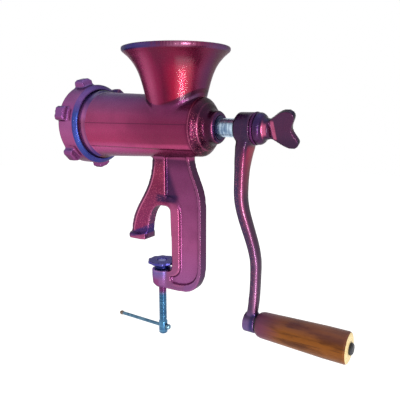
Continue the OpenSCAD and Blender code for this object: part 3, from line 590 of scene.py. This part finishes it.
def crank_shades(tree, spot):
    """Dark purple at the hub, pinker down the arm's middle with a painted highlight band, painted shade
    along its sides and on top, and navy painted shade at the eye.
    """
    # Painted light and shade by facing: the arm's middle is pinker, its side towards the ring darker.
    middle = shades(
        tree, spot.z, (-62, "#5c4474"), (-50, "#8a587e"), (8, "#583856"), (60, "#743658"),
        (90, "#682648"), (106, "#2e1634"), (140, "#1c1840"),
    )
    side = shades(
        tree, spot.z, (-78, "#4a4478"), (-62, "#685080"), (-50, "#46304e"), (60, "#36284a"),
        (106, "#2e1634"), (140, "#1c1840"),
    )
    colour = mixed(tree, ramp(tree, spot.heading, 0.0, 0.35), side, middle)
    # Painted shade along the side of the arm that faces +X.
    outer = shades(
        tree, spot.z, (-50, "#4a2c4c"), (55, "#3c263c"), (98, "#8a1e42"),
    )
    outside = share_of(tree, ramp(tree, spot.heading, 0.88, 0.99), between(tree, spot.z, -54, 104, 3))
    colour = mixed(tree, outside, colour, outer)
    # Painted highlight: a light band down the middle of the arm.
    light = shades(
        tree, spot.z, (-50, "#b0749a"), (8, "#7e4c74"), (40, "#bc7498"), (100, "#8a3252"),
    )
    ridge = between(tree, spot.heading, *HIGHLIGHT_HEADING, 0.12)
    highlight_band = share_of(tree, ridge, between(tree, spot.z, -50, 98, 4), 0.5)
    colour = mixed(tree, highlight_band, colour, light)
    # Painted shade: navy on the eye's side towards +X.
    eye = share_of(tree, ramp(tree, spot.z, -52, -57), ramp(tree, spot.x, *EYE_X))
    colour = mixed(tree, eye, colour, paint("#22265e"))
    # Painted shade where the crank faces up.
    return mixed(tree, share_of(tree, ramp(tree, spot.up, 0.3, 0.8), 0.7), colour, paint("#221a3e"))


print("ring and crank shades ready")

# %% Shades of the wing screw, its washer and the pad
FLANGE_END_X = 144.5
WING_X = 149.5


def wing_shades(tree, spot):
    """Plum with a navy flange, painted darker on top and low down, with hot pink painted highlight bands
    on the round neck and the wings' root, and painted shade on edges facing up or towards +X.
    """
    # Painted shade: darker where the wing faces up.
    colour = shades(
        tree, spot.up, (-1.0, "#301a3c"), (-0.5, "#40203e"), (0.0, "#4a2040"), (0.4, "#402042"),
        (0.8, "#1e183c"),
    )
    # Painted shade on the lower wing.
    colour = mixed(tree, share_of(tree, ramp(tree, spot.z, 116, 106), 0.55), colour, paint("#241630"))
    # The navy flange, a little darker where it faces up, as painted shade.
    flange = shades(tree, spot.up, (-1.0, "#48224a"), (-0.3, "#3c1a40"), (0.3, "#2e1c48"), (1.0, "#241e50"))
    colour = mixed(tree, ramp(tree, spot.x, FLANGE_END_X + 0.6, FLANGE_END_X - 0.6), colour, flange)
    # Painted highlights: hot pink bands on the round neck and the wings' root.
    neck = between(tree, spot.x, FLANGE_END_X + 0.6, WING_X - 0.6, 0.5)
    by_root = between(tree, spot.x, WING_X + 2.4, WING_X + 5.4, 0.7)
    root = share_of(tree, by_root, ramp(tree, spot.radius, 11, 8))
    bands = share_of(tree, calc(tree, "MAXIMUM", neck, root), between(tree, spot.up, -0.55, 0.4, 0.2), 0.9)
    colour = mixed(tree, bands, colour, paint("#c25a80"))
    # Painted shade on the wing's edges that face up or towards +X.
    rim = share_of(tree, ramp(tree, spot.radius, 9, 12), ramp(tree, spot.x, WING_X, WING_X + 3))
    outward = calc(tree, "MAXIMUM", ramp(tree, spot.up, 0.25, 0.7), ramp(tree, spot.crankward, 0.3, 0.8))
    rim = share_of(tree, rim, outward)
    return mixed(tree, rim, colour, paint("#14122e"))


def collar_shades(tree, spot):
    """The washer under the wing screw, painted darker where it faces up."""
    return shades(tree, spot.up, (-1.0, "#4a1c48"), (0.0, "#3d153d"), (1.0, "#241a40"))


def pad_shades(tree, spot):
    """Blue violet on the wavy top, royal blue on the hub below it, and painted shade underneath."""
    colour = shades(tree, spot.z, (-31, "#021448"), (-25.5, "#02164c"), (-24, "#3a3a8c"), (-21, "#3e3c88"))
    # Painted shade on the pad's underside.
    return mixed(tree, share_of(tree, ramp(tree, spot.up, -0.5, -0.9), 0.6), colour, paint("#0e1c4c"))


def pad_edge_highlight(tree, spot):
    """Only the pad's wavy top has painted edge highlights."""
    return ramp(tree, spot.z, -25.5, -24.5)


print("wing, washer and pad shades ready")


# %% Enamel finish
PANEL_UP = 3.0
PANEL_DOWN = 21.0
PANEL_X = (-42.9, 80.0)
LINE_WIDTH = 0.6
GLINT_BOOST = 11.0
THICK_COAT = 0.8


def panel_lines(tree, spot):
    """How dark the thin lines along the two long edges of the barrel's side panels are."""
    lines = 0.0
    for height in (AXIS_Z + PANEL_UP, AXIS_Z - PANEL_DOWN):
        apart = calc(tree, "ABSOLUTE", calc(tree, "SUBTRACT", spot.z, height))
        lines = calc(tree, "MAXIMUM", lines, ramp(tree, apart, LINE_WIDTH, LINE_WIDTH * 0.3))
    beside = ramp(tree, spot.off_middle, 18, 20)
    along = between(tree, spot.x, PANEL_X[0], PANEL_X[1], 1.0)
    return share_of(tree, lines, beside, along, 0.6)


def enamel(
    name, shades_of, edge_highlight, edge_highlight_shade="#cf7098", edge_highlight_of=None, glints_of=None,
    gloss=0.14, gloss_of=None, panel=False,
):
    """Pebbled metallic enamel over a piece's own shades; the third argument sets how much a painted
    highlight lightens its edges.
    """
    finish, tree, shader, coords = new_finish(name)
    place = coords.outputs["Object"]
    spot = Spot(tree, coords)
    colour = shades_of(tree, spot)
    clouds = add(tree, "ShaderNodeTexNoise", Vector=place, Scale=45.0, Detail=3.0)
    colour = mixed(tree, ramp(tree, clouds.outputs["Fac"], 0.4, 0.75, 0.0, 0.22), colour, paint("#4c1236"))
    pebbles = add(tree, "ShaderNodeTexNoise", Vector=place, Scale=620.0, Detail=2.0, Roughness=0.55)
    flecks = add(tree, "ShaderNodeTexVoronoi", Vector=place, Scale=800.0)
    fleck_share = ramp(tree, flecks.outputs["Distance"], 0.34, 0.12, 0.0, 0.05)
    # Pink flecks lie all over; where a piece has painted glints they grow many times denser.
    if glints_of:
        bright = calc(tree, "MULTIPLY_ADD", glints_of(tree, spot), GLINT_BOOST, 1.0)
        fleck_share = calc(tree, "MULTIPLY", fleck_share, bright)
    colour = mixed(tree, fleck_share, colour, paint("#e06c8c"))

    # Painted highlights lighten the convex edges that the skin's bends mark.
    edge = add(tree, "ShaderNodeAttribute", {"attribute_name": "edge"}).outputs["Fac"]
    crease = add(tree, "ShaderNodeAttribute", {"attribute_name": "crease"}).outputs["Fac"]
    edge_highlight_share = calc(tree, "MULTIPLY", edge, ramp(tree, pebbles.outputs["Fac"], 0.3, 0.7, 0.4 * edge_highlight, edge_highlight))
    if edge_highlight_of:
        edge_highlight_share = calc(tree, "MULTIPLY", edge_highlight_share, edge_highlight_of(tree, spot))
    colour = mixed(tree, edge_highlight_share, colour, paint(edge_highlight_shade))
    # Painted shade darkens the creases; the body also gets dark lines along its side panels' edges.
    crease_shade_and_panel_lines = calc(tree, "MULTIPLY", crease, 0.42)
    if panel:
        crease_shade_and_panel_lines = calc(tree, "MAXIMUM", crease_shade_and_panel_lines, panel_lines(tree, spot))
    colour = mixed(tree, crease_shade_and_panel_lines, colour, paint("#3a0f2e"))

    bump = add(tree, "ShaderNodeBump", Height=pebbles.outputs["Fac"], Strength=0.09, Distance=0.0005)
    coat_bump = add(tree, "ShaderNodeBump", Height=pebbles.outputs["Fac"], Strength=0.5, Distance=0.0005)
    fill(tree, shader.inputs["Base Color"], colour)
    fill(tree, shader.inputs["Normal"], bump.outputs[0])
    fill(tree, shader.inputs["Coat Normal"], coat_bump.outputs[0])
    fill(tree, shader.inputs["Roughness"], ramp(tree, pebbles.outputs["Fac"], 0.3, 0.7, 0.26, 0.36))
    shader.inputs["Metallic"].default_value = 0.75
    shader.inputs["Specular Tint"].default_value = paint("#8a5a88")
    shader.inputs["Coat Weight"].default_value = gloss
    if gloss_of:
        coat = calc(tree, "MULTIPLY_ADD", gloss_of(tree, spot), THICK_COAT, gloss)
        fill(tree, shader.inputs["Coat Weight"], coat)
    shader.inputs["Coat Roughness"].default_value = 0.06
    shader.inputs["Coat IOR"].default_value = 1.45
    return finish


body_enamel = enamel(
    "body_enamel", body_shades, 0.65, edge_highlight_of=body_edge_highlight, glints_of=body_painted_glints,
    gloss_of=body_gloss, panel=True,
)
ring_enamel = enamel("ring_enamel", ring_shades, 0.25, "#8c60a0")
crank_enamel = enamel("crank_enamel", crank_shades, 0.2, glints_of=arm_painted_glints, gloss=0.32)
wing_enamel = enamel("wing_enamel", wing_shades, 0.05, gloss=0.2)
collar_enamel = enamel("collar_enamel", collar_shades, 0.35, "#8a4a8a", gloss=0.08)
pad_enamel = enamel("pad_enamel", pad_shades, 0.5, "#9a98c8", edge_highlight_of=pad_edge_highlight)
enamels = (body_enamel, ring_enamel, crank_enamel, wing_enamel, collar_enamel, pad_enamel)
print("enamels:", [finish.name for finish in enamels])

# %% [markdown]
# ## Castings
# A sand casting has no sharp edges: every corner is rounded by a millimetre or two, and each inner corner
# holds a fillet. Bevelling the CAD meshes edge by edge would be slow and fragile, so each casting is
# copied, wrapped in a skin of small even faces, and eased: each point moves towards its neighbours and
# then a little back, which rounds the corners without shrinking the piece. The bend of the eased skin
# then says where edges and corners are.


# %% Casting helpers
def merged_copy(node, name):
    """A new object with a CAD solid's mesh, its doubled points merged."""
    mesh = solids[node].data.copy()
    mesh.name = name
    mesh.materials.clear()
    work = bmesh.new()
    work.from_mesh(mesh)
    bmesh.ops.remove_doubles(work, verts=work.verts, dist=1e-6)
    work.to_mesh(mesh)
    work.free()
    piece = bpy.data.objects.new(name, mesh)
    bpy.context.scene.collection.objects.link(piece)
    return piece


def plain_mesh(piece):
    """Turns a piece with modifiers into a plain mesh."""
    seen_now = bpy.context.evaluated_depsgraph_get()
    mesh = bpy.data.meshes.new_from_object(piece.evaluated_get(seen_now))
    piece.modifiers.clear()
    piece.data = mesh
    return piece


def skinned(piece, step):
    """Wraps a piece in one closed skin of faces of that size."""
    skin = piece.modifiers.new("skin", "REMESH")
    skin.mode = "VOXEL"
    skin.voxel_size = step
    skin.use_smooth_shade = True
    return plain_mesh(piece)


def neighbour_mean(values, ends, count):
    """For each point, the mean over the points that an edge joins it to."""
    first, second = ends
    total = np.zeros_like(values)
    for column in range(values.shape[1]):
        total[:, column] += np.bincount(first, values[second, column], len(values))
        total[:, column] += np.bincount(second, values[first, column], len(values))
    return total / count[:, None]


EASE_PULL = 0.5
EASE_BACK = -0.52
EDGE_BEND = (0.06, 0.15)
CREASE_BEND = (0.045, 0.16)


def skin_points(mesh):
    """A mesh's points, the two ends of each edge, and how many edges meet at each point."""
    points = np.empty(len(mesh.vertices) * 3)
    mesh.vertices.foreach_get("co", points)
    ends = np.empty(len(mesh.edges) * 2, dtype=np.int32)
    mesh.edges.foreach_get("vertices", ends)
    count = np.bincount(ends, minlength=len(mesh.vertices)).astype(float)
    return points.reshape(-1, 3), ends.reshape(-1, 2).T, count


def facing(mesh):
    """The direction that the skin faces at each point."""
    normals = np.empty(len(mesh.vertices) * 3, dtype=np.float32)
    mesh.vertices.foreach_get("normal", normals)
    return normals.reshape(-1, 3)


def mark_bends(piece, step):
    """Stores where the skin's edges and creases are."""
    mesh = piece.data
    points, ends, count = skin_points(mesh)
    bend = ((neighbour_mean(points, ends, count) - points) * facing(mesh)).sum(1, keepdims=True)
    for _ in range(2):
        bend = 0.5 * bend + 0.5 * neighbour_mean(bend, ends, count)
    for name, sign, (low, high) in (("edge", -1, EDGE_BEND), ("crease", 1, CREASE_BEND)):
        share = np.clip((sign * bend[:, 0] / step - low) / (high - low), 0, 1)
        store = mesh.attributes.new(name, "FLOAT", "POINT")
        store.data.foreach_set("value", share.astype(np.float32))
    return piece


def eased(piece, rounds, back=EASE_BACK, share=1.0):
    """Rounds the skin's corners; share says how far each point follows."""
    mesh = piece.data
    points, ends, count = skin_points(mesh)
    for pull in [EASE_PULL, back] * rounds:
        points += share * pull * (neighbour_mean(points, ends, count) - points)
    mesh.vertices.foreach_set("co", points.ravel())
    mesh.update()
    return piece


def cast(node, name, step, rounds):
    """A casting's skin with soft corners, which knows where its edges are."""
    return mark_bends(eased(skinned(merged_copy(node, name), step), rounds), step)


def dress(piece, body, finish, slot, *nodes):
    """Gives a piece its finish and lets it stand for its CAD solids."""
    piece.data.materials.clear()
    piece.data.materials.append(finish)
    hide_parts(*nodes)
    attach(piece, body)
    print(piece.name, "faces:", len(piece.data.polygons))
    return piece


# %% Body casting and ring nut
body = cast("body_casting", "grinder_body", 1.25 * MM, 6)
dress(body, "casting", body_enamel, "red_enamel", "body_casting")
ring = cast("ring_nut", "plate_ring", 1.1 * MM, 6)
dress(ring, "ring", ring_enamel, "purple_enamel", "ring_nut")

# %% Crank arm
ARM_STEP = 1.0 * MM
ARM_LOW = -52 * MM
ARM_HIGH = 103 * MM
ARM_BLEND = 10 * MM
ARM_SWELL = 0.45 * MM
ARM_ROUNDS = 300
ARM_BACK = -0.507
arm = eased(skinned(merged_copy("crank_arm", "crank"), ARM_STEP), 6)
heights = skin_points(arm.data)[0][:, 2]
on_arm = np.clip((heights - ARM_LOW) / ARM_BLEND, 0, 1) * np.clip((ARM_HIGH - heights) / ARM_BLEND, 0, 1)
eased(arm, ARM_ROUNDS, ARM_BACK, on_arm[:, None])
oval = skin_points(arm.data)[0] + facing(arm.data) * on_arm[:, None] * ARM_SWELL
arm.data.vertices.foreach_set("co", oval.ravel())
arm.data.update()
dress(mark_bends(arm, ARM_STEP), "crank", crank_enamel, "red_enamel", "crank_arm")

# %% Wing screw, its washer and the clamp pad
WING_STEP = 0.8 * MM
wing = cast("wing_screw", "wing", WING_STEP, 6)
dress(wing, "wing", wing_enamel, "red_enamel", "wing_screw")
washer = cast("crank_washer", "wing_collar", WING_STEP, 2)
dress(washer, "wing_washer", collar_enamel, "purple_enamel", "crank_washer")
pad = cast("clamp_pad", "table_pad", WING_STEP, 3)
dress(pad, "pad", pad_enamel, "purple_enamel", "clamp_pad")

# %% [markdown]
# ## Steel, bronze and fibre
# The turned parts are bare metal. Turning leaves fine rings round the axis, and handling leaves faint
# stains, so the metal's colour and roughness both vary along the piece. Noise that is squeezed along one
# axis gives rings, and a second slow noise gives the stains.


# %% Metal finish
def turned_metal(name, light, dark, rings=(900.0, 60.0, 60.0), rough=(0.22, 0.42), stain=0.5, over=()):
    """Metal with turning rings and stains; rings is the noise's scale per axis, and over tints a part."""
    finish, tree, shader, coords = new_finish(name)
    squeeze = add(tree, "ShaderNodeMapping", Vector=coords.outputs["Object"], Scale=rings)
    marks = add(tree, "ShaderNodeTexNoise", Vector=squeeze.outputs[0], Scale=1.0, Detail=3.0)
    stains = add(tree, "ShaderNodeTexNoise", Vector=coords.outputs["Object"], Scale=140.0, Detail=4.0)
    turned = calc(tree, "MULTIPLY", marks.outputs["Fac"], 0.6)
    share = calc(tree, "MULTIPLY_ADD", stains.outputs["Fac"], stain, turned)
    colour = mixed(tree, ramp(tree, share, 0.38, 0.72), paint(light), paint(dark))
    for axis, start, end, code in over:
        along = add(tree, "ShaderNodeSeparateXYZ", Vector=coords.outputs["Object"]).outputs[axis]
        colour = mixed(tree, ramp(tree, along, start * MM, end * MM), colour, paint(code))
    bump = add(tree, "ShaderNodeBump", Height=marks.outputs["Fac"], Strength=0.2, Distance=0.0002)
    fill(tree, shader.inputs["Base Color"], colour)
    fill(tree, shader.inputs["Normal"], bump.outputs[0])
    fill(tree, shader.inputs["Roughness"], ramp(tree, marks.outputs["Fac"], 0.3, 0.7, *rough))
    shader.inputs["Metallic"].default_value = 1.0
    return finish


bright_steel = turned_metal("bright_steel", "#bcd0e0", "#5c7492", rings=(1400.0, 60.0, 60.0))
bar_steel = turned_metal(
    "bar_steel", "#66869a", "#3e5e78", rings=(200.0, 200.0, 200.0), over=[("X", -28, -32, "#645448")],
)
# The magenta on the clamp screw, from below the jaw up to the pad, is a painted reflection of the jaw.
screw_steel = turned_metal(
    "screw_steel", "#4c7a9c", "#2a507a", rings=(60.0, 60.0, 500.0), stain=0.4,
    over=[("Z", -62, -54, "#7a3c72"), ("Z", -34, -31, "#08205a"), ("Z", -25, -23, "#484890")],
)
tool_steel = turned_metal(
    "tool_steel", "#aeb2b8", "#83878d", rings=(300.0, 300.0, 300.0), rough=(0.3, 0.45), stain=0.3,
)
dark_steel = turned_metal("dark_steel", "#4a4a4e", "#232326", rough=(0.35, 0.55))
tinned_iron = turned_metal(
    "tinned_iron", "#b4b5b6", "#84868a", rings=(220.0, 220.0, 220.0), rough=(0.32, 0.5),
)
# Painted shade: navy on the bush's end inside the boss.
bronze = turned_metal("bronze", "#b98d52", "#7c5a2e", over=[("X", 95, 97, "#1e183e")])
fibre = turned_metal("fibre", "#6e3a24", "#4a2415", rough=(0.6, 0.75))
fibre.node_tree.nodes["Principled BSDF"].inputs["Metallic"].default_value = 0.0

STEEL_SOLIDS = {
    "drive_shaft": bright_steel,
    "knife_stud": bright_steel,
    "wing_stud": bright_steel,
    "plate_key": bright_steel,
    "tommy_bar": bar_steel,
    "cutter_knife": tool_steel,
    "hole_plate": tool_steel,
    "handle_spindle": dark_steel,
    "grip_washer": dark_steel,
    "auger_screw": tinned_iron,
    "rear_bush": bronze,
    "thrust_washer": fibre,
}
for node, finish in STEEL_SOLIDS.items():
    solids[node].data.materials.clear()
    solids[node].data.materials.append(finish)
print("bare metal and fibre solids:", len(STEEL_SOLIDS))

# %% [markdown]
# ## Thread of the clamp screw
# A thread is one ridge that winds round a core, so it follows a path. A spiral curve with a small round
# section gives it in Geometry Nodes, with the number of turns, the radius and the height as inputs. The
# core is the CAD solid with its shank made thinner by the depth of the thread, so the screw keeps its
# size.

# %% Thread tree
SCREW_R = 4.15
CORE_R = 3.62
THREAD_PITCH = 1.25
THREAD_LOW = -89.6
THREAD_HIGH = -32.0


def thread_tree(finish):
    """A Geometry Nodes tree that winds a ridge round the piece that it is given."""
    tree = bpy.data.node_groups.new("screw_thread", "GeometryNodeTree")
    for name, kind in (
        ("Core", "NodeSocketGeometry"), ("Turns", "NodeSocketFloat"), ("Radius", "NodeSocketFloat"),
        ("Height", "NodeSocketFloat"), ("Ridge", "NodeSocketFloat"), ("Start", "NodeSocketVector"),
    ):
        tree.interface.new_socket(name, in_out="INPUT", socket_type=kind)
    tree.interface.new_socket("Screw", in_out="OUTPUT", socket_type="NodeSocketGeometry")
    given = add(tree, "NodeGroupInput").outputs
    path = add(tree, "GeometryNodeCurveSpiral", Resolution=24, Rotations=given["Turns"])
    fill(tree, path.inputs["Height"], given["Height"])
    fill(tree, path.inputs["Start Radius"], given["Radius"])
    fill(tree, path.inputs["End Radius"], given["Radius"])
    section = add(tree, "GeometryNodeCurvePrimitiveCircle", Resolution=6, Radius=given["Ridge"])
    ridge = add(tree, "GeometryNodeCurveToMesh", Curve=path.outputs[0], Fill_Caps=True)
    fill(tree, ridge.inputs["Profile Curve"], section.outputs["Curve"])
    placed = add(tree, "GeometryNodeTransform", Geometry=ridge.outputs[0], Translation=given["Start"])
    whole = tree.nodes.new("GeometryNodeJoinGeometry")
    tree.links.new(placed.outputs[0], whole.inputs[0])
    tree.links.new(given["Core"], whole.inputs[0])
    real = add(tree, "GeometryNodeRealizeInstances", Geometry=whole.outputs[0])
    painted = add(tree, "GeometryNodeSetMaterial", Geometry=real.outputs[0], Material=finish)
    add(tree, "NodeGroupOutput", Screw=painted.outputs[0])
    return tree


# %% Clamp screw
screw = merged_copy("clamp_screw", "table_screw")
screw_low, screw_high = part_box("clamp_screw")
screw_x = (screw_low[0] + screw_high[0]) / 2
for point in screw.data.vertices:
    out = math.hypot(point.co.x - screw_x, point.co.y)
    if abs(out - SCREW_R * MM) < 0.05 * MM:
        point.co.x = screw_x + (point.co.x - screw_x) * CORE_R / SCREW_R
        point.co.y *= CORE_R / SCREW_R
winding = screw.modifiers.new("thread", "NODES")
winding.node_group = thread_tree(screw_steel)
sizes = {
    "Turns": (THREAD_HIGH - THREAD_LOW) / THREAD_PITCH,
    "Radius": CORE_R * MM,
    "Ridge": (SCREW_R - CORE_R) * MM,
    "Height": (THREAD_HIGH - THREAD_LOW) * MM,
    "Start": (screw_x, 0.0, THREAD_LOW * MM),
}
for item in winding.node_group.interface.items_tree:
    if item.name in sizes:
        winding[item.identifier] = sizes[item.name]
dress(plain_mesh(screw), "screw", screw_steel, "bright_steel", "clamp_screw")

# %% [markdown]
# ## Wooden grip
# The grip is turned from one stick of wood, so its grain runs along it: pale and dark patches with thin
# dark streaks, seen through a coat of clear varnish. The outer end is bare and shows the cut ends of the
# fibres.

# %% Wood finish
GRIP_IN_X = 143.1 * MM


def varnished_wood():
    """Brown wood with its grain along X, a purple tint by the crank, painted shade on its top, clear
    varnish, and a pale bare end.
    """
    finish, tree, shader, coords = new_finish("varnished_wood")
    place = coords.outputs["Object"]
    long_bands = add(tree, "ShaderNodeMapping", Vector=place, Scale=(32.0, 120.0, 120.0))
    stretched = long_bands.outputs[0]
    bands = add(tree, "ShaderNodeTexNoise", Vector=stretched, Scale=1.0, Detail=4.0, Roughness=0.6)
    thin = add(tree, "ShaderNodeMapping", Vector=place, Scale=(26.0, 620.0, 620.0))
    streaks = add(tree, "ShaderNodeTexNoise", Vector=thin.outputs[0], Scale=1.0, Detail=3.0)
    colour = mixed(tree, ramp(tree, bands.outputs["Fac"], 0.34, 0.66), paint("#864c16"), paint("#5a2c08"))
    streak_share = ramp(tree, streaks.outputs["Fac"], 0.52, 0.72, 0.0, 0.55)
    colour = mixed(tree, streak_share, colour, paint("#36180a"))
    spot = add(tree, "ShaderNodeSeparateXYZ", Vector=place)
    patches = calc(tree, "MULTIPLY_ADD", bands.outputs["Fac"], 24 * MM, spot.outputs["X"])
    inner = ramp(tree, patches, GRIP_IN_X + 40 * MM, GRIP_IN_X + 14 * MM, 0.0, 0.75)
    colour = mixed(tree, inner, colour, paint("#662e58"))
    facing = add(tree, "ShaderNodeSeparateXYZ", Vector=coords.outputs["Normal"])
    # Painted shade: the grip's top is darker and greyer.
    colour = mixed(tree, ramp(tree, facing.outputs["Z"], 0.3, 0.9, 0.0, 0.35), colour, paint("#583a4e"))
    cut = ramp(tree, facing.outputs["X"], 0.75, 0.95)
    pores = add(tree, "ShaderNodeTexVoronoi", Vector=place, Scale=700.0)
    pore_share = ramp(tree, pores.outputs["Distance"], 0.5, 0.2, 0.0, 0.5)
    end_grain = mixed(tree, pore_share, paint("#ecd49c"), paint("#c29c60"))
    colour = mixed(tree, cut, colour, end_grain)
    bump = add(tree, "ShaderNodeBump", Height=streaks.outputs["Fac"], Strength=0.15, Distance=0.0003)
    fill(tree, shader.inputs["Base Color"], colour)
    fill(tree, shader.inputs["Normal"], bump.outputs[0])
    fill(tree, shader.inputs["Roughness"], ramp(tree, bands.outputs["Fac"], 0.3, 0.7, 0.38, 0.5))
    shader.inputs["Coat Weight"].default_value = 0.08
    shader.inputs["Coat Roughness"].default_value = 0.12
    shader.inputs["Specular IOR Level"].default_value = 0.15
    return finish


wood = varnished_wood()
solids["wood_grip"].data.materials.clear()
solids["wood_grip"].data.materials.append(wood)
print("wood on wood_grip")
